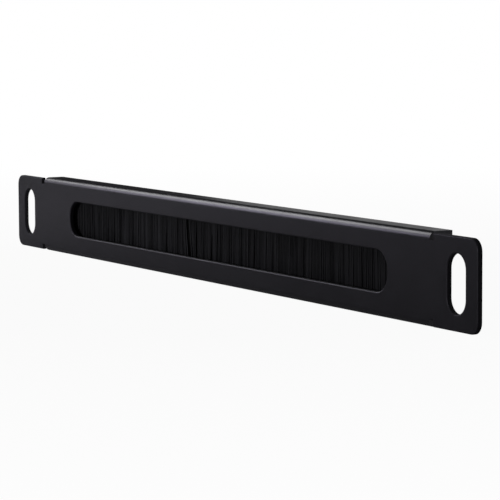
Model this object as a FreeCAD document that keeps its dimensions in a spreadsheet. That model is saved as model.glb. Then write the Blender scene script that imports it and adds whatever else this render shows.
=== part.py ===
import FreeCAD, Part
import math
import os
import Sketcher

# Half-unit brush strip panel for a 10-inch rack, in millimetres.
# X runs along the panel, +Y goes into the rack and +Z is up.
# The origin is under the middle of the panel, half way through its depth.

DRIVING_SIZES = {
    # Folded front panel
    "panel_length": 254.0,
    "panel_height": 22.2,
    "sheet_thickness": 1.2,
    "flange_depth": 6.3,
    "ear_width": 18.1,
    "ear_setback": 0.25,
    "bend_radius": 0.6,
    "relief_width": 1.7,
    "relief_overrun": 0.1,
    "corner_radius": 3.0,
    "slot_from_end": 8.7375,
    "slot_width": 7.3,
    "slot_height": 13.9,
    "opening_from_end": 38.0,
    "opening_height": 10.2,
    "edge_round": 0.35,
    # Folded clip that holds the strip brush
    "holder_thickness": 0.6,
    "holder_bend": 0.4,
    "holder_headroom": 0.3,
    "lip_bend": 0.15,
    "tab_from_brush": 1.5,
    "tab_width": 9.0,
    "tab_margin": 0.5,
    "tab_corner_radius": 3.0,
    # Strip brush
    "brush_overlap": 3.5,
    "channel_width": 2.8,
    "channel_depth": 3.2,
    "channel_wall": 0.4,
    "channel_bend": 0.5,
    "wire_diameter": 1.0,
    "brush_clearance": 0.05,
    "tip_overlap": 1.8,
    "tip_unevenness": 0.35,
    "tuft_pitch": 0.9,
    "tuft_point": 0.2,
    "tuft_groove": 0.18,
    "groove_unevenness": 0.12,
    # Studs, washers and nuts
    "stud_diameter": 3.0,
    "stud_length": 4.5,
    "collar_diameter": 3.8,
    "collar_thickness": 0.4,
    "stud_clearance": 0.2,
    "washer_diameter": 7.0,
    "washer_thickness": 0.5,
    "nut_across_flats": 5.5,
    "nut_thickness": 2.4,
    "nut_chamfer": 0.35,
    "thread_clearance": 0.03,
}


class Size:
    """A length with its number and the sheet formula that it comes from."""

    def __init__(self, number, formula):
        self.number = number
        self.formula = formula

    def __add__(self, other):
        other = as_size(other)
        return Size(self.number + other.number, f"({self.formula} + {other.formula})")

    def __sub__(self, other):
        other = as_size(other)
        return Size(self.number - other.number, f"({self.formula} - {other.formula})")

    def __mul__(self, factor):
        return Size(self.number * factor, f"({self.formula} * {factor})")

    def __truediv__(self, divisor):
        return Size(self.number / divisor, f"({self.formula} / {divisor})")

    def __neg__(self):
        return Size(-self.number, f"(-{self.formula})")


def as_size(value):
    return value if isinstance(value, Size) else Size(float(value), str(float(value)))


doc = FreeCAD.newDocument("brush_strip_panel")
sheet = doc.addObject("Spreadsheet::Sheet", "sizes")
for row, (alias, value) in enumerate(DRIVING_SIZES.items(), start=1):
    sheet.set(f"A{row}", alias)
    sheet.set(f"B{row}", str(value))
    sheet.setAlias(f"B{row}", alias)
doc.recompute()


def size(alias):
    return Size(float(sheet.get(alias)), f"sizes.{alias}")


ZERO = as_size(0)
THICK = size("sheet_thickness")
HEIGHT = size("panel_height")
DEPTH = size("flange_depth")
MIDDLE = HEIGHT / 2
BEND_OUTSIDE = size("bend_radius") + THICK
HOLDER = size("holder_thickness")
PLAY = size("brush_clearance")
WALL = size("channel_wall")

# Stack behind the panel's sheet, front to back
HOLDER_FRONT = THICK
CHANNEL_FRONT = HOLDER_FRONT + HOLDER + PLAY
CHANNEL_BACK = CHANNEL_FRONT + size("channel_width")
HOLDER_BACK = CHANNEL_BACK + PLAY + HOLDER
BRUSH_MIDDLE = CHANNEL_FRONT + size("channel_width") / 2

# Levels, top to bottom
HOLDER_TOP = HEIGHT - THICK - size("holder_headroom")
CHANNEL_TOP = HOLDER_TOP - HOLDER - PLAY
CHANNEL_BOTTOM = CHANNEL_TOP - size("channel_depth")
ROOT_TOP = CHANNEL_TOP - WALL - PLAY
WIRE_LEVEL = ROOT_TOP - size("channel_bend") - size("wire_diameter") / 2
TIP_LEVEL = MIDDLE - size("opening_height") / 2 - size("tip_overlap")

# Half lengths, measured from the middle of the panel
HALF_PANEL = size("panel_length") / 2
HALF_FLANGE = HALF_PANEL - size("ear_width") - size("relief_width")
HALF_OPENING = HALF_PANEL - size("opening_from_end")
HALF_BRUSH = HALF_OPENING + size("brush_overlap")
STUD_X = HALF_BRUSH + size("tab_from_brush") + size("tab_width") / 2
HALF_HOLDER = STUD_X + size("tab_width") / 2 + size("tab_margin")

BORE_RADIUS = size("stud_diameter") / 2 + size("thread_clearance")


def bind(item, prop, length):
    item.setExpression(prop, length.formula)


def seat(item):
    """Move a finished sub-part so that the panel's depth is centred on the origin."""
    bind(item, "Placement.Base.y", -(DEPTH / 2))
    return item


def new_body(label):
    body = doc.addObject("PartDesign::Body", label)
    body.Label = label
    return body


def new_sketch(body, name, role):
    sketch = body.newObject("Sketcher::SketchObject", name)
    plane = next(item for item in body.Origin.OriginFeatures if item.Role == role)
    sketch.AttachmentSupport = [(plane, "")]
    sketch.MapMode = "FlatFace"
    return sketch


def bind_constraint(sketch, kind, first, length):
    """Add a dimension between or on geometry and bind it to the sheet."""
    index = sketch.addConstraint(Sketcher.Constraint(kind, *first, length.number))
    name = f"{kind}_{index}"
    sketch.renameConstraint(index, name)
    sketch.setExpression(f"Constraints.{name}", length.formula)


def fix_point(sketch, geometry, end, place):
    """Hold a point at a place that is measured from the sketch's origin."""
    for kind, axis, length in (("DistanceX", -2, place[0]), ("DistanceY", -1, place[1])):
        if length.number == 0:
            sketch.addConstraint(Sketcher.Constraint("PointOnObject", geometry, end, axis))
        elif length.number > 0:
            bind_constraint(sketch, kind, (-1, 1, geometry, end), length)
        else:
            bind_constraint(sketch, kind, (geometry, end, -1, 1), -length)


def add_outline(sketch, corners):
    """Draw a closed outline of straight lines, with every corner bound."""
    spots = [FreeCAD.Vector(x.number, y.number, 0) for x, y in corners]
    lines = [Part.LineSegment(spot, spots[(i + 1) % len(spots)]) for i, spot in enumerate(spots)]
    first = sketch.GeometryCount
    sketch.addGeometry(lines, False)
    for i, corner in enumerate(corners):
        following = first + (i + 1) % len(corners)
        sketch.addConstraint(Sketcher.Constraint("Coincident", first + i, 2, following, 1))
        fix_point(sketch, first + i, 1, corner)


def add_rectangle(sketch, low, high):
    add_outline(sketch, [(low[0], low[1]), (high[0], low[1]), (high[0], high[1]), (low[0], high[1])])


def add_stadium(sketch, centre, half_run, radius, upright):
    """Draw a slot outline with two round ends, along X or upright."""
    turn = math.pi / 2 if upright else 0.0
    run = (ZERO, half_run) if upright else (half_run, ZERO)
    centres = [(centre[0] + run[0], centre[1] + run[1]), (centre[0] - run[0], centre[1] - run[1])]
    first = sketch.GeometryCount
    arcs = []
    for end, (x, y) in enumerate(centres):
        circle = Part.Circle(FreeCAD.Vector(x.number, y.number, 0), FreeCAD.Vector(0, 0, 1), radius.number)
        start = turn - math.pi / 2 + end * math.pi
        arcs.append(Part.ArcOfCircle(circle, start, start + math.pi))
    sides = [
        Part.LineSegment(arcs[0].EndPoint, arcs[1].StartPoint),
        Part.LineSegment(arcs[1].EndPoint, arcs[0].StartPoint),
    ]
    sketch.addGeometry([arcs[0], sides[0], arcs[1], sides[1]], False)
    for i in range(4):
        following = first + (i + 1) % 4
        sketch.addConstraint(Sketcher.Constraint("Tangent", first + i, 2, following, 1))
    sketch.addConstraint(Sketcher.Constraint("Equal", first, first + 2))
    fix_point(sketch, first, 3, centres[0])
    fix_point(sketch, first + 2, 3, centres[1])
    bind_constraint(sketch, "Radius", (first,), radius)


def add_circle(sketch, centre, radius):
    place = FreeCAD.Vector(centre[0].number, centre[1].number, 0)
    index = sketch.addGeometry(Part.Circle(place, FreeCAD.Vector(0, 0, 1), radius.number), False)
    fix_point(sketch, index, 3, centre)
    bind_constraint(sketch, "Radius", (index,), radius)


def pad(body, sketch, name, length, reverse=False, both_ways=False):
    feature = body.newObject("PartDesign::Pad", name)
    feature.Profile = sketch
    feature.Reversed = reverse
    feature.SideType = "Symmetric" if both_ways else "One side"
    feature.Length = length.number
    bind(feature, "Length", length)
    doc.recompute()
    return feature


def pocket_through(body, sketch, name):
    """Cut right through the sheet, both ways, and make sure that it cuts."""
    before = body.Shape.Volume
    feature = body.newObject("PartDesign::Pocket", name)
    feature.Profile = sketch
    feature.SideType = "Two sides"
    feature.Type = "ThroughAll"
    feature.Type2 = "ThroughAll"
    doc.recompute()
    if body.Shape.Volume >= before:
        raise RuntimeError(f"{name} cuts nothing")
    return feature


def mirror_in_length(body, feature, name):
    mirrored = body.newObject("PartDesign::Mirrored", name)
    plane = next(item for item in body.Origin.OriginFeatures if item.Role == "YZ_Plane")
    mirrored.Originals = [feature]
    mirrored.MirrorPlane = (plane, [""])
    body.Tip = mirrored
    doc.recompute()
    return mirrored


def fillet(body, base, name, radius, wanted):
    """Round the edges of the base feature that the test picks out."""
    names = [f"Edge{i}" for i, edge in enumerate(base.Shape.Edges, start=1) if wanted(edge)]
    if not names:
        raise RuntimeError(f"{name} finds no edge")
    feature = body.newObject("PartDesign::Fillet", name)
    feature.Base = (base, names)
    feature.Radius = radius.number
    bind(feature, "Radius", radius)
    doc.recompute()
    if "Invalid" in feature.State or feature.Shape.isNull():
        raise RuntimeError(f"{name} fails: {feature.getStatusString()}")
    return feature


TOUCH = 1e-4


def near(a, b):
    return abs(a - b) < TOUCH


def along_x_at(places):
    """Test for straight edges along X at any of some (y, z) places."""
    def wanted(edge):
        box = edge.BoundBox
        flat = box.YLength < TOUCH and box.ZLength < TOUCH
        return flat and any(near(box.YMin, y.number) and near(box.ZMin, z.number) for y, z in places)
    return wanted


def build_front_panel():
    body = new_body("front_panel")
    ears_start = HALF_FLANGE + size("relief_width")
    notch_depth = BEND_OUTSIDE + size("relief_overrun")
    ear_foot = size("ear_setback")
    ear_top = HEIGHT - ear_foot

    section = new_sketch(body, "folded_section", "YZ_Plane")
    add_outline(section, [
        (ZERO, ZERO),
        (DEPTH, ZERO),
        (DEPTH, THICK),
        (THICK, THICK),
        (THICK, HEIGHT - THICK),
        (DEPTH, HEIGHT - THICK),
        (DEPTH, HEIGHT),
        (ZERO, HEIGHT),
    ])
    folded = pad(body, section, "folded_flanges", HALF_FLANGE * 2, both_ways=True)
    outside = along_x_at([(ZERO, ZERO), (ZERO, HEIGHT)])
    inside = along_x_at([(THICK, THICK), (THICK, HEIGHT - THICK)])
    inner = fillet(body, folded, "bend_inside", size("bend_radius"), inside)
    fillet(body, inner, "bend_outside", BEND_OUTSIDE, outside)

    blank = new_sketch(body, "face_outline", "XZ_Plane")
    add_outline(blank, [
        (-HALF_PANEL, ear_foot),
        (-ears_start, ear_foot),
        (-ears_start, notch_depth),
        (ears_start, notch_depth),
        (ears_start, ear_foot),
        (HALF_PANEL, ear_foot),
        (HALF_PANEL, ear_top),
        (ears_start, ear_top),
        (ears_start, HEIGHT - notch_depth),
        (-ears_start, HEIGHT - notch_depth),
        (-ears_start, ear_top),
        (-HALF_PANEL, ear_top),
    ])
    face = pad(body, blank, "face_and_ears", THICK, reverse=True)

    def ear_corner(edge):
        box = edge.BoundBox
        upright = near(box.XLength, 0) and near(box.ZLength, 0)
        return upright and near(abs(box.XMin), HALF_PANEL.number)

    fillet(body, face, "ear_corners", size("corner_radius"), ear_corner)

    opening = new_sketch(body, "opening_outline", "XZ_Plane")
    opening_radius = size("opening_height") / 2
    add_stadium(opening, (ZERO, MIDDLE), HALF_OPENING - opening_radius, opening_radius, False)
    pocket_through(body, opening, "cable_opening")

    slot = new_sketch(body, "slot_outline", "XZ_Plane")
    slot_radius = size("slot_width") / 2
    slot_place = (HALF_PANEL - size("slot_from_end"), MIDDLE)
    add_stadium(slot, slot_place, size("slot_height") / 2 - slot_radius, slot_radius, True)
    ear_slot = pocket_through(body, slot, "ear_slot")
    slots = mirror_in_length(body, ear_slot, "ear_slots")

    def cut_edge_in_front(edge):
        box = edge.BoundBox
        inside_height = box.ZMin > notch_depth.number and box.ZMax < (HEIGHT - notch_depth).number
        return near(box.YMin, 0) and near(box.YMax, 0) and inside_height

    fillet(body, slots, "rounded_cut_edges", size("edge_round"), cut_edge_in_front)
    return seat(body)


def build_brush_holder():
    body = new_body("brush_holder")
    lip_top = CHANNEL_BOTTOM - PLAY
    lip_edge = CHANNEL_BACK - WALL + PLAY
    back_inside = HOLDER_BACK - HOLDER
    front_inside = HOLDER_FRONT + HOLDER

    section = new_sketch(body, "holder_section", "YZ_Plane")
    add_outline(section, [
        (HOLDER_FRONT, CHANNEL_BOTTOM),
        (HOLDER_FRONT, HOLDER_TOP),
        (HOLDER_BACK, HOLDER_TOP),
        (HOLDER_BACK, lip_top - HOLDER),
        (lip_edge, lip_top - HOLDER),
        (lip_edge, lip_top),
        (back_inside, lip_top),
        (back_inside, HOLDER_TOP - HOLDER),
        (front_inside, HOLDER_TOP - HOLDER),
        (front_inside, CHANNEL_BOTTOM),
    ])
    clip = pad(body, section, "clip", HALF_HOLDER * 2, both_ways=True)
    top_inside = along_x_at([(back_inside, HOLDER_TOP - HOLDER), (front_inside, HOLDER_TOP - HOLDER)])
    top_outside = along_x_at([(HOLDER_FRONT, HOLDER_TOP), (HOLDER_BACK, HOLDER_TOP)])
    lip_inside = along_x_at([(back_inside, lip_top)])
    lip_outside = along_x_at([(HOLDER_BACK, lip_top - HOLDER)])
    clip = fillet(body, clip, "clip_bends_inside", size("holder_bend"), top_inside)
    clip = fillet(body, clip, "clip_bends_outside", size("holder_bend") + HOLDER, top_outside)
    clip = fillet(body, clip, "lip_bend_inside", size("lip_bend"), lip_inside)
    fillet(body, clip, "lip_bend_outside", size("lip_bend") + HOLDER, lip_outside)

    tabs = new_sketch(body, "tab_outlines", "XZ_Plane")
    bind(tabs, "AttachmentOffset.Base.z", -HOLDER_FRONT)
    holes = new_sketch(body, "tab_hole_outlines", "XZ_Plane")
    half_width = size("tab_width") / 2
    tab_foot = MIDDLE - half_width
    for side in (-1, 1):
        stud_x = STUD_X * side
        add_rectangle(tabs, (stud_x - half_width, tab_foot), (stud_x + half_width, CHANNEL_BOTTOM + HOLDER))
        add_circle(holes, (stud_x, MIDDLE), size("collar_diameter") / 2 + size("stud_clearance"))
    tab_pad = pad(body, tabs, "tabs", HOLDER, reverse=True)

    def tab_corner(edge):
        box = edge.BoundBox
        return near(box.XLength, 0) and near(box.ZLength, 0) and near(box.ZMin, tab_foot.number)

    fillet(body, tab_pad, "tab_corners", size("tab_corner_radius"), tab_corner)
    pocket_through(body, holes, "tab_holes")
    return seat(body)


def build_brush_channel():
    body = new_body("brush_channel")
    outline = new_sketch(body, "channel_section", "YZ_Plane")
    add_outline(outline, [
        (CHANNEL_FRONT, CHANNEL_BOTTOM),
        (CHANNEL_FRONT, CHANNEL_TOP),
        (CHANNEL_BACK, CHANNEL_TOP),
        (CHANNEL_BACK, CHANNEL_BOTTOM),
        (CHANNEL_BACK - WALL, CHANNEL_BOTTOM),
        (CHANNEL_BACK - WALL, CHANNEL_TOP - WALL),
        (CHANNEL_FRONT + WALL, CHANNEL_TOP - WALL),
        (CHANNEL_FRONT + WALL, CHANNEL_BOTTOM),
    ])
    strip = pad(body, outline, "channel_strip", HALF_BRUSH * 2, both_ways=True)
    inside = along_x_at([
        (CHANNEL_FRONT + WALL, CHANNEL_TOP - WALL), (CHANNEL_BACK - WALL, CHANNEL_TOP - WALL),
    ])
    outside = along_x_at([(CHANNEL_FRONT, CHANNEL_TOP), (CHANNEL_BACK, CHANNEL_TOP)])
    strip = fillet(body, strip, "channel_bends_inside", size("channel_bend"), inside)
    fillet(body, strip, "channel_bends_outside", size("channel_bend") + WALL, outside)
    return seat(body)


TURN_TO_X = FreeCAD.Rotation(FreeCAD.Vector(0, 1, 0), 90)
TURN_TO_Y = FreeCAD.Rotation(FreeCAD.Vector(1, 0, 0), -90)


def lay(item, turn, start):
    """Turn an upright primitive and start it at a bound place."""
    item.Placement = FreeCAD.Placement(FreeCAD.Vector(), turn)
    for letter, length in zip("xyz", start):
        bind(item, f"Placement.Base.{letter}", length)
    return item


def lay_cylinder(name, radius, length, turn, start):
    cylinder = doc.addObject("Part::Cylinder", name)
    bind(cylinder, "Radius", radius)
    bind(cylinder, "Height", length)
    return lay(cylinder, turn, start)


def build_core_wire():
    start = (-HALF_BRUSH, BRUSH_MIDDLE - DEPTH / 2, WIRE_LEVEL)
    return lay_cylinder("core_wire", size("wire_diameter") / 2, HALF_BRUSH * 2, TURN_TO_X, start)


GOLDEN_ANGLE = math.pi * (3 - math.sqrt(5))
FRONT_PHASE = 0.0
TIP_PHASE = 1.0
REAR_PHASE = 2.0


def ripple(index, phase):
    """An uneven but repeatable value between -1 and 1 for each tuft."""
    return math.sin(index * GOLDEN_ANGLE + phase) * math.cos(index * index * GOLDEN_ANGLE)


def extruded_face(points, direction):
    return Part.Face(Part.makePolygon(points + points[:1])).extrude(direction)


def build_bristle_curtain():
    """Filaments folded over the core wire, gathered in tufts with uneven tips."""
    half_length = HALF_BRUSH.number
    half_width = (size("channel_width") / 2 - WALL - PLAY).number
    middle = BRUSH_MIDDLE.number
    mouth = CHANNEL_BOTTOM.number
    groove = sheet.get("tuft_groove")
    tip_play = sheet.get("tip_unevenness")
    tufts = round(2 * half_length / sheet.get("tuft_pitch"))
    step = 2 * half_length / tufts
    seam_tip = TIP_LEVEL.number + tip_play
    tuft_tip = TIP_LEVEL.number - sheet.get("tuft_point")
    lowest = tuft_tip - tip_play

    def seam(i):
        return i * step - half_length

    def fluted_side(side, phase):
        face = middle + side * half_width
        points = []
        for i in range(tufts):
            inset = groove + sheet.get("groove_unevenness") * ripple(i, phase)
            points.append(FreeCAD.Vector(seam(i), face - side * inset, lowest))
            points.append(FreeCAD.Vector(seam(i) + step / 2, face, lowest))
        points.append(FreeCAD.Vector(half_length, face - side * groove, lowest))
        return points

    plan = fluted_side(-1, FRONT_PHASE) + fluted_side(1, REAR_PHASE)[::-1]
    skirt = extruded_face(plan, FreeCAD.Vector(0, 0, mouth + WALL.number - lowest))

    front_view = []
    for i in range(tufts):
        front_view.append(FreeCAD.Vector(seam(i), 0, seam_tip))
        front_view.append(FreeCAD.Vector(seam(i) + step / 2, 0, tuft_tip + tip_play * ripple(i, TIP_PHASE)))
    front_view.append(FreeCAD.Vector(half_length, 0, seam_tip))
    for x in (half_length, -half_length):
        front_view.append(FreeCAD.Vector(x, 0, CHANNEL_TOP.number))
    trimmed = skirt.common(extruded_face(front_view, FreeCAD.Vector(0, DEPTH.number, 0)))

    root_corner = FreeCAD.Vector(-half_length, middle - half_width, mouth)
    root = Part.makeBox(2 * half_length, 2 * half_width, ROOT_TOP.number - mouth, root_corner)
    top_edges = [edge for edge in root.Edges
                 if near(edge.BoundBox.ZMin, ROOT_TOP.number) and near(edge.BoundBox.YLength, 0)]
    root = root.makeFillet(sheet.get("channel_bend"), top_edges)
    wire_start = FreeCAD.Vector(-half_length, middle, WIRE_LEVEL.number)
    wire_hole = Part.makeCylinder(sheet.get("wire_diameter") / 2 + PLAY.number, 2 * half_length,
                                  wire_start, FreeCAD.Vector(1, 0, 0))
    curtain = doc.addObject("Part::Feature", "bristle_curtain")
    curtain.Shape = root.fuse(trimmed).cut(wire_hole).removeSplitter()
    curtain.Placement.Base.y = -DEPTH.number / 2
    return curtain


def pair_of(label, make_one):
    """Group the left and the right copy of a fastener in one sub-part."""
    group = doc.addObject("Part::Compound", label)
    group.Links = [make_one(f"{label}_{side}", STUD_X * way) for side, way in (("left", -1), ("right", 1))]
    return seat(group)


def joined(kind, name, base, tool):
    result = doc.addObject(kind, name)
    result.Base = base
    result.Tool = tool
    return result


def make_stud(name, x):
    start = (x, THICK, MIDDLE)
    shank = lay_cylinder(f"{name}_shank", size("stud_diameter") / 2, size("stud_length"), TURN_TO_Y, start)
    collar_radius = size("collar_diameter") / 2
    collar = lay_cylinder(f"{name}_collar", collar_radius, size("collar_thickness"), TURN_TO_Y, start)
    return joined("Part::Fuse", name, shank, collar)


def make_washer(name, x):
    start = (x, HOLDER_FRONT + HOLDER, MIDDLE)
    thickness = size("washer_thickness")
    disc = lay_cylinder(f"{name}_disc", size("washer_diameter") / 2, thickness, TURN_TO_Y, start)
    bore_radius = size("stud_diameter") / 2 + size("stud_clearance") / 2
    bore = lay_cylinder(f"{name}_bore", bore_radius, thickness, TURN_TO_Y, start)
    return joined("Part::Cut", name, disc, bore)


def make_nut(name, x):
    start = (x, HOLDER_FRONT + HOLDER + size("washer_thickness"), MIDDLE)
    corner_radius = size("nut_across_flats") / math.sqrt(3)
    thickness = size("nut_thickness")
    hexagon = doc.addObject("Part::Prism", f"{name}_hexagon")
    hexagon.Polygon = 6
    bind(hexagon, "Circumradius", corner_radius)
    bind(hexagon, "Height", thickness)
    lay(hexagon, TURN_TO_Y, start)
    barrel = lay_cylinder(f"{name}_barrel", corner_radius, thickness, TURN_TO_Y, start)
    doc.recompute()
    domed = doc.addObject("Part::Chamfer", f"{name}_chamfers")
    domed.Base = barrel
    chamfer = sheet.get("nut_chamfer")
    rims = [i for i, edge in enumerate(barrel.Shape.Edges, start=1) if near(edge.BoundBox.YLength, 0)]
    domed.Edges = [(i, chamfer, chamfer) for i in rims]
    body = joined("Part::Common", f"{name}_body", hexagon, domed)
    bore = lay_cylinder(f"{name}_bore", BORE_RADIUS, thickness, TURN_TO_Y, start)
    return joined("Part::Cut", name, body, bore)


def check_document():
    doc.recompute()
    for item in doc.Objects:
        faults = [state for state in item.State if state in ("Invalid", "Error")]
        if faults:
            raise RuntimeError(f"{item.Name}: {faults}")


def export(sub_parts):
    os.makedirs("parts", exist_ok=True)
    for item in sub_parts:
        shape = item.Shape
        if shape.isNull() or not shape.isValid():
            raise RuntimeError(f"{item.Label} has no valid shape")
    for item in sub_parts:
        item.Shape.exportStep(f"parts/{item.Label}.step")


sub_parts = [
    build_front_panel(),
    build_brush_holder(),
    build_brush_channel(),
    build_core_wire(),
    build_bristle_curtain(),
    pair_of("weld_studs", make_stud),
    pair_of("stud_washers", make_washer),
    pair_of("stud_nuts", make_nut),
]
check_document()
export(sub_parts)
for item in sub_parts:
    print(f"{item.Label}: {len(item.Shape.Solids)} solids, {item.Shape.Volume:.1f} mm3")
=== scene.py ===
import math
from collections import namedtuple

import bmesh
import bpy
import numpy as np
from mathutils import Matrix, Vector


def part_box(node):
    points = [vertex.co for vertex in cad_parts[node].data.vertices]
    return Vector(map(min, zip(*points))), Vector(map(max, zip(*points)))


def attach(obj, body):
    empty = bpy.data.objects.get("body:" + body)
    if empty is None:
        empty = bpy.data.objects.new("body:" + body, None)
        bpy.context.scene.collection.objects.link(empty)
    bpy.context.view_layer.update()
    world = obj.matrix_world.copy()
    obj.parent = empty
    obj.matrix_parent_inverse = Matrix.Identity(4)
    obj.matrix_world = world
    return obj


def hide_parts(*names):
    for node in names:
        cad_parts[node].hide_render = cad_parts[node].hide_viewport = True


MM = 0.001
SEED = 12

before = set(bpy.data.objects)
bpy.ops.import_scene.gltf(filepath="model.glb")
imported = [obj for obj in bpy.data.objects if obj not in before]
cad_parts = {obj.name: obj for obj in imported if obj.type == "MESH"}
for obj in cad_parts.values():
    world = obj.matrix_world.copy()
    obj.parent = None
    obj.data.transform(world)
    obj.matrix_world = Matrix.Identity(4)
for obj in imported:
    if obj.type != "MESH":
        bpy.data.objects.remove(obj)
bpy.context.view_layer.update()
scene = bpy.context.scene
rng = np.random.default_rng(SEED)


# Camera, fitted to the panel's edges and slots

IMAGE_PX = 500
FOCAL_PX = 2493.8
SENSOR_MM = 36.0
CAMERA_AT = Vector((584.60, -312.75, 73.34)) * MM
VIEW_ALONG = Vector((-0.871918, 0.479968, -0.096905))
VIEW_UP = Vector((-0.082776, 0.050575, 0.995284))


def frame_matrix(origin, along, up):
    """A placement that looks along -Z, as cameras and lamps do."""
    back = -along.normalized()
    right = up.cross(back).normalized()
    top = back.cross(right)
    return Matrix.Translation(origin) @ Matrix((right, top, back)).transposed().to_4x4()


def add_to_scene(name, data):
    placed = bpy.data.objects.new(name, data)
    scene.collection.objects.link(placed)
    return placed


def place_camera():
    data = bpy.data.cameras.new("camera")
    data.sensor_width = SENSOR_MM
    data.lens = FOCAL_PX * SENSOR_MM / IMAGE_PX
    camera = add_to_scene("camera", data)
    camera.matrix_world = frame_matrix(CAMERA_AT, VIEW_ALONG, VIEW_UP)
    scene.camera = camera


# Node helpers: owner is a material or the world

NOISE_SPAN = (0.3, 0.7)
RAMP_SPAN = (0.35, 0.65)
OPAQUE_WHITE = (1, 1, 1, 1)


def clear_tree(owner):
    owner.use_nodes = True
    owner.node_tree.nodes.clear()


def link(owner, output, socket):
    owner.node_tree.links.new(output, socket)


def add_node(owner, kind, values=None):
    """A new shader node, with some of its input values set."""
    node = owner.node_tree.nodes.new("ShaderNode" + kind)
    for socket, value in (values or {}).items():
        node.inputs[socket].default_value = value
    return node


def new_material(name):
    """A material that holds one Principled shader."""
    material = bpy.data.materials.new(name)
    clear_tree(material)
    shader = add_node(material, "BsdfPrincipled")
    output = add_node(material, "OutputMaterial")
    link(material, shader.outputs[0], output.inputs["Surface"])
    return material, shader


def object_coordinates(material, stretch=(1, 1, 1)):
    coordinates = add_node(material, "TexCoord")
    mapping = add_node(material, "Mapping", {"Scale": stretch})
    link(material, coordinates.outputs["Object"], mapping.inputs["Vector"])
    return mapping.outputs["Vector"]


def noise(material, where, cell_mm, detail, rough=0.5):
    values = {"Scale": 1 / (cell_mm * MM), "Detail": detail, "Roughness": rough}
    node = add_node(material, "TexNoise", values)
    link(material, where, node.inputs["Vector"])
    return node.outputs[0]


def spread(material, value, low, high, span=NOISE_SPAN):
    """Maps the span of a value to low and high."""
    values = {"From Min": span[0], "From Max": span[1], "To Min": low, "To Max": high}
    node = add_node(material, "MapRange", values)
    link(material, value, node.inputs["Value"])
    return node.outputs[0]


def two_colours(material, value, first, second, span=RAMP_SPAN):
    node = add_node(material, "ValToRGB")
    for element, position, colour in zip(node.color_ramp.elements, span, (first, second)):
        element.position = position
        element.color = (*colour, 1)
    link(material, value, node.inputs["Fac"])
    return node.outputs["Color"]


def bump(material, height, depth_mm, strength, under=None):
    node = add_node(material, "Bump", {"Distance": depth_mm * MM, "Strength": strength})
    link(material, height, node.inputs["Height"])
    if under is not None:
        link(material, under, node.inputs["Normal"])
    return node.outputs["Normal"]


def reckon(owner, operation, first, second=0.0):
    """One sum on two values, each a number or another node's output."""
    node = add_node(owner, "Math")
    node.operation = operation
    for socket, value in zip(node.inputs, (first, second)):
        if isinstance(value, (int, float)):
            socket.default_value = value
        else:
            link(owner, value, socket)
    return node.outputs[0]


def facing_and_place(material):
    """The surface's direction and its place, each split along the part's own axes."""
    coordinates = add_node(material, "TexCoord")
    axes = []
    for name in ("Normal", "Object"):
        node = add_node(material, "SeparateXYZ")
        link(material, coordinates.outputs[name], node.inputs[0])
        axes.append(node.outputs)
    return axes


def scaled(colour, factor):
    return tuple(channel * factor for channel in colour)


# Powder coat

COAT_COLOUR = (0.0068, 0.0066, 0.0080)
COAT_SHEEN = (1.0, 0.96, 1.12)
COAT_SPECULAR = 0.4
TINT_DARK = 0.92
TINT_PALE = 1.1
COAT_SMOOTHER = 0.02
COAT_ROUGHER = 0.03
HOLDER_SHADE = 0.9

# Sheared rims: those of the ears start at EAR_START, and that of the opening lies within
# RIM_REACH of RIM_LEVEL. They are rougher by RIM_MATT, times EAR_MATT on the ears.
EAR_START = 107.4 * MM
RIM_LEVEL = 11.1 * MM
RIM_REACH = 5.6 * MM
RIM_MATT = 0.24
EAR_MATT = 2.0

# The ends of the flanges, within END_REACH of FLANGE_END, get a pale colour as painted light:
# it stands in for light that these end faces catch
FLANGE_END = 107.2 * MM
END_REACH = 0.3 * MM
END_PAINTED_LIGHT_COLOUR = (0.15, 0.15, 0.157)

# From this cosine on, a surface counts as facing along an axis
FACE_TURN = 0.93


def cut_rims(material):
    """1 on the rim of the opening and EAR_MATT on those of the ears, where the coat is matt."""
    facing, place = facing_and_place(material)
    turned = reckon(material, "LESS_THAN", reckon(material, "ABSOLUTE", facing[1]), FACE_TURN)
    on_ear = reckon(material, "GREATER_THAN", reckon(material, "ABSOLUTE", place[0]), EAR_START)
    from_middle = reckon(material, "ABSOLUTE", reckon(material, "SUBTRACT", place[2], RIM_LEVEL))
    at_opening = reckon(material, "LESS_THAN", from_middle, RIM_REACH)
    ears = reckon(material, "MULTIPLY", on_ear, EAR_MATT)
    return reckon(material, "MULTIPLY", turned, reckon(material, "MAXIMUM", ears, at_opening))


def painted_light_on_flange_ends(material):
    """1 on the ends of the flanges, which are painted pale as painted light."""
    facing, place = facing_and_place(material)
    turned = reckon(material, "GREATER_THAN", reckon(material, "ABSOLUTE", facing[0]), FACE_TURN)
    from_end = reckon(material, "SUBTRACT", reckon(material, "ABSOLUTE", place[0]), FLANGE_END)
    near = reckon(material, "LESS_THAN", reckon(material, "ABSOLUTE", from_end), END_REACH)
    return reckon(material, "MULTIPLY", turned, near)


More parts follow.
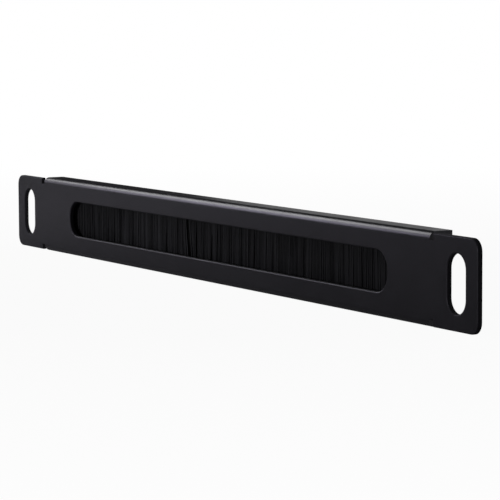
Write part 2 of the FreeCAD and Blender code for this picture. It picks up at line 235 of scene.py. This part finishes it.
def powder_coat(name, colour, roughness):
    """Sprayed polyester powder: a fine grain over a slow orange peel."""
    material, shader = new_material(name)
    where = object_coordinates(material)
    cloud = noise(material, where, cell_mm=9.0, detail=3.0)
    tint = two_colours(material, cloud, scaled(colour, TINT_DARK), scaled(colour, TINT_PALE))
    # Painted light: the ends of the flanges are mixed towards a pale colour
    ends = add_node(material, "MixRGB", {"Color2": (*END_PAINTED_LIGHT_COLOUR, 1)})
    link(material, painted_light_on_flange_ends(material), ends.inputs["Fac"])
    link(material, tint, ends.inputs["Color1"])
    link(material, ends.outputs["Color"], shader.inputs["Base Color"])
    smooth, rough = roughness - COAT_SMOOTHER, roughness + COAT_ROUGHER
    gloss = spread(material, cloud, low=smooth, high=rough)
    matt = reckon(material, "MULTIPLY", cut_rims(material), RIM_MATT)
    link(material, reckon(material, "ADD", gloss, matt), shader.inputs["Roughness"])
    shader.inputs["Specular IOR Level"].default_value = COAT_SPECULAR
    shader.inputs["Specular Tint"].default_value = (*COAT_SHEEN, 1)
    waves = noise(material, where, cell_mm=1.6, detail=1.0)
    peel = bump(material, waves, depth_mm=0.012, strength=0.25)
    specks = noise(material, where, cell_mm=0.28, detail=3.0, rough=0.6)
    grain = bump(material, specks, depth_mm=0.012, strength=0.35, under=peel)
    link(material, grain, shader.inputs["Normal"])
    return material


# Bare and plated metal

SPANGLE_CELL = 0.9 * MM
SPANGLE_STRETCH = (0.4, 1, 1)
SPANGLE_SPAN = (0.2, 0.8)
SPANGLE_DARK = (0.33, 0.34, 0.35)
SPANGLE_PALE = (0.52, 0.53, 0.53)
ROLL_STRETCH = (0.08, 1, 1)
STRIP_METALLIC = 0.95
PLATE_SMOOTHER = 0.05
PLATE_ROUGHER = 0.08


def zinc_sheet(name):
    """Galvanised strip: pale crystals, and scratches that the rolls drew along it."""
    material, shader = new_material(name)
    spangle = add_node(material, "TexVoronoi", {"Scale": 1 / SPANGLE_CELL})
    link(material, object_coordinates(material, SPANGLE_STRETCH), spangle.inputs["Vector"])
    tone = two_colours(material, spangle.outputs["Color"], SPANGLE_DARK, SPANGLE_PALE, SPANGLE_SPAN)
    link(material, tone, shader.inputs["Base Color"])
    rolled = object_coordinates(material, ROLL_STRETCH)
    scratches = noise(material, rolled, cell_mm=0.12, detail=4.0, rough=0.65)
    link(material, spread(material, scratches, low=0.32, high=0.5), shader.inputs["Roughness"])
    shader.inputs["Metallic"].default_value = STRIP_METALLIC
    link(material, bump(material, scratches, depth_mm=0.006, strength=0.4), shader.inputs["Normal"])
    return material


def plated_steel(name, low, high, roughness):
    """Steel with a faint cloud in its tone and a fine turned or drawn grain."""
    material, shader = new_material(name)
    where = object_coordinates(material)
    cloud = noise(material, where, cell_mm=1.4, detail=3.0)
    link(material, two_colours(material, cloud, low, high), shader.inputs["Base Color"])
    shader.inputs["Metallic"].default_value = 1.0
    fine = noise(material, where, cell_mm=0.1, detail=3.0, rough=0.6)
    smooth, rough = roughness - PLATE_SMOOTHER, roughness + PLATE_ROUGHER
    link(material, spread(material, fine, low=smooth, high=rough), shader.inputs["Roughness"])
    link(material, bump(material, fine, depth_mm=0.004, strength=0.4), shader.inputs["Normal"])
    return material


# Nylon

# Each filament's tone, with painted shade and painted light mixed in
TONE_AND_PAINTED_LIGHT = "tone"
BRISTLE_DARK = (0.0060, 0.0060, 0.0066)
BRISTLE_PALE = (0.0350, 0.0350, 0.0390)
BRISTLE_SPECULAR = 0.05
STREAK_STRETCH = (1, 1, 0.05)


def nylon_bristles(name):
    """Black nylon filaments, each with its own tone from the TONE_AND_PAINTED_LIGHT attribute,
    which also carries painted shade behind the partings and painted light towards the tips.
    """
    material, shader = new_material(name)
    tone = add_node(material, "Attribute")
    tone.attribute_name = TONE_AND_PAINTED_LIGHT
    colour = two_colours(material, tone.outputs["Fac"], BRISTLE_DARK, BRISTLE_PALE, (0.0, 1.0))
    link(material, colour, shader.inputs["Base Color"])
    streak = noise(material, object_coordinates(material, STREAK_STRETCH), cell_mm=0.2, detail=2.0)
    link(material, spread(material, streak, low=0.42, high=0.62), shader.inputs["Roughness"])
    shader.inputs["Specular IOR Level"].default_value = BRISTLE_SPECULAR
    return material


NODE_MATERIALS = {
    "front_panel": powder_coat("panel_powder_coat", COAT_COLOUR, 0.31),
    "brush_holder": powder_coat("holder_powder_coat", scaled(COAT_COLOUR, HOLDER_SHADE), 0.42),
    "brush_channel": zinc_sheet("channel_zinc"),
    "core_wire": plated_steel("core_wire_steel", (0.28, 0.28, 0.28), (0.42, 0.41, 0.40), 0.38),
    "weld_studs": plated_steel("stud_zinc", (0.50, 0.51, 0.52), (0.66, 0.67, 0.67), 0.3),
    "stud_washers": plated_steel("washer_zinc", (0.52, 0.53, 0.54), (0.70, 0.70, 0.69), 0.32),
    "stud_nuts": plated_steel("nut_zinc", (0.48, 0.49, 0.50), (0.66, 0.66, 0.66), 0.28),
}


def dress_nodes():
    for name, material in NODE_MATERIALS.items():
        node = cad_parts[name]
        for slot in node.material_slots:
            slot.material = material


# Bristles

FILAMENTS = 9000
FILAMENT_RADIUS = 0.15 * MM
SIDES = 3
WIRE_RADIUS = 0.5 * MM

# Tufts: how far they stray, how tightly their filaments gather, and the innermost ones' share
TUFT_PITCH = 1.35 * MM
TUFT_LEAN = 0.30 * MM
TUFT_DEPTH = 0.10 * MM
TUFT_GATHER = 0.35
INNER_LEAN = 0.3
FILAMENT_LEAN = 0.10 * MM

# Tips: uneven one by one, and in waves along the strip
TIP_UNEVEN = 0.22 * MM
TIP_WAVE_PITCH = 2.2 * MM
TIP_WAVE_HEIGHT = 0.28 * MM

# How far the roots stay below the curtain's top
ROOT_COVER = 0.4 * MM

# How wide the layers spread on the way down, the last two as shares of the tips' spread
ROOT_SPREAD = 0.3 * MM
WIRE_SPREAD = 0.5 * MM
MOUTH_SHARE = 0.8
HALFWAY_SHARE = 0.92

# Down a filament, at its root, the wire, the channel's mouth, halfway and the tip:
# the share of its lean, and how much paler it is painted, as painted light against the shade near
# the tips
FALLS = (0.0, 0.0, 0.05, 0.5, 1.0)
TIP_PAINTED_LIGHT = (1.0, 1.0, 1.0, 1.12, 1.9)

# Where the curtain has parted, in mm, and how much painted shade darkens the filaments behind
Parting = namedtuple("Parting", "centre half_width drift reach darkness")
PARTINGS = [
    Parting(*(length * MM for length in lengths), darkness)
    for *lengths, darkness in (
        (-23.8, 0.60, 0.1, 1.0, 1.0),
        (-18.2, 1.05, 2.0, 1.4, 1.0),
        (-67.7, 0.24, 0.1, 1.0, 0.8),
        (-53.2, 0.14, -0.2, 0.9, 0.7),
        (14.6, 0.20, 0.2, 0.9, 0.8),
        (17.0, 0.16, -0.1, 0.7, 0.8),
        (50.5, 0.10, 0.2, 0.9, 0.3),
        (59.0, 0.10, 0.3, 1.0, 0.3),
    )
]

# A parting opens soon below the channel and fades out behind the middle layer, where the
# filaments drift less, stand calmer and are painted darker, as painted shade in the gap
PARTING_OPENS = 12
PARTING_DEPTH = 0.25
PARTING_FADE = 1.25
DRIFT_BEHIND = 0.5
CALM_BEHIND = 1.5 * MM
CALM_LAYER = -0.2
PAINTED_SHADE_LAYER = -0.3

# How the curtain changes along the panel: place in mm, how unruly, how pale
STRETCHES = (
    (-90, 0.9, 1.00),
    (-45, 0.85, 1.25),
    (-15, 1.15, 1.22),
    (15, 0.85, 0.92),
    (45, 0.65, 0.84),
    (70, 0.2, 0.86),
    (90, 0.15, 0.86),
)
TUFT_TONES = (2.0, 3.2)
TUFT_TONE_SHARE = 0.55
FILAMENT_TONES = (1.6, 3.0)


def smooth_walk(positions, pitch, height):
    """A smooth random value along the strip, one knot per pitch."""
    low = positions.min() - pitch
    knots = np.arange(low, positions.max() + 2 * pitch, pitch)
    values = rng.normal(0, height, len(knots))
    return np.interp(positions, knots, values)


def parted(along, lean, layer, fall):
    """Where the filaments are at one level, pushed apart in front and leaning at the partings."""
    place = along + lean * fall
    in_front = np.clip(PARTING_DEPTH - PARTING_FADE * layer, 0.0, 1.0)
    for parting in PARTINGS:
        offset = along - parting.centre
        push = np.sign(offset) * parting.half_width * np.exp(-np.abs(offset) / parting.reach)
        place = place + push * min(1.0, fall * PARTING_OPENS) * in_front
        drift = parting.drift * np.exp(-(offset / (2 * parting.reach)) ** 2) * fall
        place = place + drift * (DRIFT_BEHIND + (1 - DRIFT_BEHIND) * in_front)
    return place


def filament_tones_and_painted_shade(along, layer, tuft_number, unrest, paleness):
    """How pale each filament is, from 0 to 1, with painted shade on those behind the partings."""
    tuft_tone = rng.beta(*TUFT_TONES, tuft_number.max() + 1)[tuft_number]
    own_tone = rng.beta(*FILAMENT_TONES, FILAMENTS)
    tone = TUFT_TONE_SHARE * tuft_tone + (1 - TUFT_TONE_SHARE) * own_tone
    tone = tone.mean() + (tone - tone.mean()) * unrest
    tone = np.clip(tone * paleness, 0, 1)
    # Painted shade: the filaments seen through a parting are darkened
    for parting in PARTINGS:
        near = np.exp(-((along - parting.centre) / parting.half_width) ** 2)
        tone = tone * (1 - parting.darkness * near * (layer > PAINTED_SHADE_LAYER))
    return tone


def filament_paths():
    """Centre lines of the filaments, from over the wire down to the tips.

    Gives also each one's tone, with painted shade behind the partings, and its layer, from -1 in
    front to 1 behind.
    """
    low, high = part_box("bristle_curtain")
    channel_low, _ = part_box("brush_channel")
    wire_low, wire_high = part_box("core_wire")
    middle = (wire_low[1] + wire_high[1]) / 2
    wire_level = (wire_low[2] + wire_high[2]) / 2
    mouth = channel_low[2]
    margin = FILAMENT_RADIUS
    half_depth = min(high[1] - middle, middle - low[1]) - margin

    # Evenly spread along the strip, so that no slit shows through
    length = high[0] - low[0] - 2 * margin
    order = np.arange(FILAMENTS) + rng.uniform(0, 1, FILAMENTS)
    along = low[0] + margin + length * order / FILAMENTS
    layer = rng.uniform(-1, 1, FILAMENTS)
    side = np.sign(layer)

    # Tufts, with the front and rear ones half a pitch apart
    stagger = side / 4
    tuft = np.round(along / TUFT_PITCH + stagger)
    tuft_number = (tuft - tuft.min()).astype(int) * 2 + (side > 0)
    tuft_lean = rng.normal(0, TUFT_LEAN, tuft_number.max() + 1)[tuft_number]
    tuft_depth = rng.normal(0, TUFT_DEPTH, tuft_number.max() + 1)[tuft_number]
    gather = ((tuft - stagger) * TUFT_PITCH - along) * TUFT_GATHER

    # The inner filaments, and those behind a parting, are straighter
    places, unruliness, paleness = np.array(STRETCHES).T
    unrest = np.interp(along, places * MM, unruliness)
    looseness = INNER_LEAN + (1 - INNER_LEAN) * np.abs(layer)
    own_lean = rng.normal(0, FILAMENT_LEAN, FILAMENTS)
    lean = (tuft_lean + gather) * looseness * unrest + own_lean
    for parting in PARTINGS:
        near = np.exp(-((along - parting.centre) / CALM_BEHIND) ** 2)
        lean = lean * (1 - near * (layer > CALM_LAYER))
    tips = low[2] + margin + np.abs(rng.normal(0, TIP_UNEVEN, FILAMENTS))
    tips += np.abs(smooth_walk(along, TIP_WAVE_PITCH, TIP_WAVE_HEIGHT))

    levels = (high[2] - ROOT_COVER, wire_level, mouth, (mouth + tips) / 2, tips)
    depths = (
        middle + layer * ROOT_SPREAD,
        middle + side * WIRE_RADIUS + layer * WIRE_SPREAD,
        middle + layer * half_depth * MOUTH_SHARE,
        middle + layer * half_depth * HALFWAY_SHARE + tuft_depth / 2,
        middle + layer * half_depth + tuft_depth,
    )
    points = np.zeros((FILAMENTS, len(levels), 3))
    for index, (level, depth, fall) in enumerate(zip(levels, depths, FALLS)):
        place = parted(along, lean, layer, fall)
        points[:, index, 0] = np.clip(place, low[0] + margin, high[0] - margin)
        points[:, index, 1] = np.clip(depth, low[1] + margin, high[1] - margin)
        points[:, index, 2] = level
    pale_here = np.interp(along, places * MM, paleness)
    return points, filament_tones_and_painted_shade(along, layer, tuft_number, unrest, pale_here), layer


def filament_mesh(name, points, tone):
    """A closed three-sided prism along each centre line."""
    count, rings, _ = points.shape
    turn = rng.uniform(0, math.tau, count)
    corners = np.zeros((count, rings, SIDES, 3))
    for corner in range(SIDES):
        angle = turn + math.tau * corner / SIDES
        corners[:, :, corner, 0] = points[:, :, 0] + FILAMENT_RADIUS * np.cos(angle)[:, None]
        corners[:, :, corner, 1] = points[:, :, 1] + FILAMENT_RADIUS * np.sin(angle)[:, None]
        corners[:, :, corner, 2] = points[:, :, 2]
    vertices = corners.reshape(-1, 3)

    base = np.arange(count) * rings * SIDES
    walls = []
    for upper in range(0, (rings - 1) * SIDES, SIDES):
        lower = upper + SIDES
        for corner in range(SIDES):
            following = (corner + 1) % SIDES
            walls.append(np.stack([base + upper + corner, base + lower + corner,
                                   base + lower + following, base + upper + following], axis=1))
    walls = np.concatenate(walls)
    last = (rings - 1) * SIDES
    tip_caps = np.stack([base + last + corner for corner in reversed(range(SIDES))], axis=1)
    root_caps = np.stack([base + corner for corner in range(SIDES)], axis=1)
    caps = np.concatenate([tip_caps, root_caps])

    mesh = bpy.data.meshes.new(name)
    mesh.from_pydata(vertices.tolist(), [], walls.tolist() + caps.tolist())
    shade = mesh.attributes.new(TONE_AND_PAINTED_LIGHT, "FLOAT", "POINT")
    # Painted light: the filaments are painted paler towards their tips
    ring_tones_with_painted_light = np.clip(tone[:, None] * np.array(TIP_PAINTED_LIGHT), 0, 1)
    shade.data.foreach_set("value", np.repeat(ring_tones_with_painted_light.reshape(-1), SIDES))
    mesh.polygons.foreach_set("use_smooth", [True] * len(walls) + [False] * len(caps))
    mesh.update()
    return add_to_scene(name, mesh)


def build_bristles():
    points, tone, layer = filament_paths()
    material = nylon_bristles("nylon_bristles")
    for name, chosen in (("bristles_front", layer < 0), ("bristles_rear", layer >= 0)):
        piece = filament_mesh(name, points[chosen], tone[chosen])
        piece.data.materials.append(material)
        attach(piece, "root")
        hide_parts("bristle_curtain")


# Stud threads

STUD_RADIUS = 1.5 * MM
COLLAR_THICKNESS = 0.4 * MM
THREAD_PITCH = 0.5 * MM
THREAD_DEPTH = 0.27 * MM
THREAD_STEPS = 28
THREAD_ROOT = STUD_RADIUS - THREAD_DEPTH
TIP_CHAMFER = 0.3 * MM

# The thread's section: share of the pitch, share of the depth
RIDGE = ((0.0, -0.1), (0.38, 1.0), (0.50, 1.0), (0.88, -0.1))


def stud_point(mesh, centre, radius, turn, depth):
    return mesh.verts.new((centre[0] + radius * math.cos(turn), depth,
                           centre[1] + radius * math.sin(turn)))


def stud_core(mesh, centre, collar, start, end):
    """Weld collar and plain shank with a chamfered tip."""
    seat = start + COLLAR_THICKNESS
    profile = (
        (collar, start),
        (collar, seat),
        (THREAD_ROOT, seat),
        (THREAD_ROOT, end - TIP_CHAMFER),
        (THREAD_ROOT - TIP_CHAMFER, end),
    )
    turns = [math.tau * step / THREAD_STEPS for step in range(THREAD_STEPS)]
    rings = [[stud_point(mesh, centre, radius, turn, depth) for turn in turns]
             for radius, depth in profile]
    for lower, upper in zip(rings, rings[1:]):
        for step in range(THREAD_STEPS):
            after = (step + 1) % THREAD_STEPS
            mesh.faces.new((lower[step], upper[step], upper[after], lower[after]))
    mesh.faces.new(rings[-1][::-1])
    mesh.faces.new(rings[0])


def stud_ridge(mesh, centre, start, end):
    """The thread's ridge, wound round the shank and closed at both ends."""
    turns = int((end - TIP_CHAMFER - start) / THREAD_PITCH) - 1
    rows = []
    for step in range(turns * THREAD_STEPS + 1):
        turn = math.tau * step / THREAD_STEPS
        rows.append([
            stud_point(mesh, centre, THREAD_ROOT + THREAD_DEPTH * rise, turn,
                       start + (step / THREAD_STEPS + share) * THREAD_PITCH)
            for share, rise in RIDGE
        ])
    for row, following in zip(rows, rows[1:]):
        for side in range(len(RIDGE)):
            beside = (side + 1) % len(RIDGE)
            mesh.faces.new((row[side], row[beside], following[beside], following[side]))
    mesh.faces.new(rows[0][::-1])
    mesh.faces.new(rows[-1])


def build_studs():
    low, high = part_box("weld_studs")
    nut_low, nut_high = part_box("stud_nuts")
    level = (nut_low[2] + nut_high[2]) / 2
    collar = (high[2] - low[2]) / 2
    work = bmesh.new()
    for side in (-1, 1):
        centre = (side * (high[0] - collar), level)
        stud_core(work, centre, collar, low[1], high[1])
        stud_ridge(work, centre, low[1] + COLLAR_THICKNESS, high[1])
    mesh = bpy.data.meshes.new("threaded_studs")
    work.to_mesh(mesh)
    work.free()
    mesh.materials.append(NODE_MATERIALS["weld_studs"])
    studs = add_to_scene("threaded_studs", mesh)
    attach(studs, "root")
    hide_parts("weld_studs")


# Lamps

PANEL_MIDDLE = (0, 0, 0.012)
WHITE = (1, 1, 1)
FLOOR_TINT = (1.0, 0.95, 1.16)

# Softboxes on the left shape the gleam on the folds, and two keys give the plain level:
# name, place, target, width, height, radiance, colour
LAMPS = (
    ("key_softbox", (0.02, -1.10, 0.10), PANEL_MIDDLE, 0.60, 0.30, 9.6, WHITE),
    ("rear_softbox", (0.02, 1.10, 0.10), PANEL_MIDDLE, 0.60, 0.30, 14.0, WHITE),
    ("bend_softbox", (-0.80, -0.18, 0.50), PANEL_MIDDLE, 0.34, 0.30, 4.7, WHITE),
    ("left_softbox", (-0.80, -0.26, 0.26), PANEL_MIDDLE, 0.34, 0.20, 0.4, WHITE),
    ("low_left_card", (-0.80, -0.32, 0.10), PANEL_MIDDLE, 0.34, 0.14, 0.26, WHITE),
    ("floor_softbox", (-0.28, -0.16, 0.12), (-0.13, -0.06, 0), 0.14, 0.10, 2.7, FLOOR_TINT),
    ("back_card", (-0.50, 0.40, 0.12), (0.05, 0, 0.02), 0.24, 0.14, 0.50, WHITE),
)


def area_lamp(name, at, towards, width, height, radiance, colour):
    data = bpy.data.lights.new(name, "AREA")
    data.shape = "RECTANGLE"
    data.size = width
    data.size_y = height
    data.energy = radiance * math.pi * width * height
    data.color = colour
    lamp = add_to_scene(name, data)
    at = Vector(at)
    lamp.matrix_world = frame_matrix(at, Vector(towards) - at, Vector((0, 0, 1)))
    lamp.visible_camera = False


def light_object():
    for lamp in LAMPS:
        area_lamp(*lamp)


# World and floor: white to the camera, plain grey to all other rays

STUDIO_COLOUR = (0.035, 0.035, 0.039, 1)
FLOOR_COLOUR = (0.55, 0.55, 0.55, 1)
FLOOR_REACH = 6.0

# Near the panel the camera sees a little less white, so that the floor keeps its shadow.
# The white fades in over WHITE_SPAN, in metres from the middle of the panel.
NEAR_WHITE = 0.95
WHITE_SPAN = (0.1, 0.5)


def build_world():
    world = bpy.data.worlds.new("studio")
    scene.world = world
    clear_tree(world)
    studio = add_node(world, "Background", {"Color": STUDIO_COLOUR})
    paper = add_node(world, "Background", {"Color": OPAQUE_WHITE})
    mix = add_node(world, "MixShader")
    path = add_node(world, "LightPath")
    output = add_node(world, "OutputWorld")
    link(world, path.outputs["Is Camera Ray"], mix.inputs["Fac"])
    link(world, studio.outputs[0], mix.inputs[1])
    link(world, paper.outputs[0], mix.inputs[2])
    link(world, mix.outputs[0], output.inputs["Surface"])


def floor_paper():
    material = bpy.data.materials.new("floor_paper")
    clear_tree(material)
    matt = add_node(material, "BsdfDiffuse", {"Color": FLOOR_COLOUR})
    paper = add_node(material, "Emission", {"Color": OPAQUE_WHITE})
    mix = add_node(material, "MixShader")
    path = add_node(material, "LightPath")
    output = add_node(material, "OutputMaterial")
    where = add_node(material, "TexCoord")
    distance = add_node(material, "VectorMath")
    distance.operation = "LENGTH"
    link(material, where.outputs["Object"], distance.inputs[0])
    fade = spread(material, distance.outputs["Value"], low=NEAR_WHITE, high=1.0, span=WHITE_SPAN)
    share = reckon(material, "MULTIPLY", fade, path.outputs["Is Camera Ray"])
    link(material, share, mix.inputs["Fac"])
    link(material, matt.outputs[0], mix.inputs[1])
    link(material, paper.outputs[0], mix.inputs[2])
    link(material, mix.outputs[0], output.inputs["Surface"])
    return material


def build_floor():
    mesh = bpy.data.meshes.new("floor")
    corners = [(x * FLOOR_REACH, y * FLOOR_REACH, 0)
               for x, y in ((-1, -1), (1, -1), (1, 1), (-1, 1))]
    mesh.from_pydata(corners, [], [range(len(corners))])
    mesh.materials.append(floor_paper())
    floor = add_to_scene("floor", mesh)


place_camera()
dress_nodes()
build_bristles()
build_studs()
build_world()
build_floor()
light_object()
scene.view_settings.view_transform = "Standard"
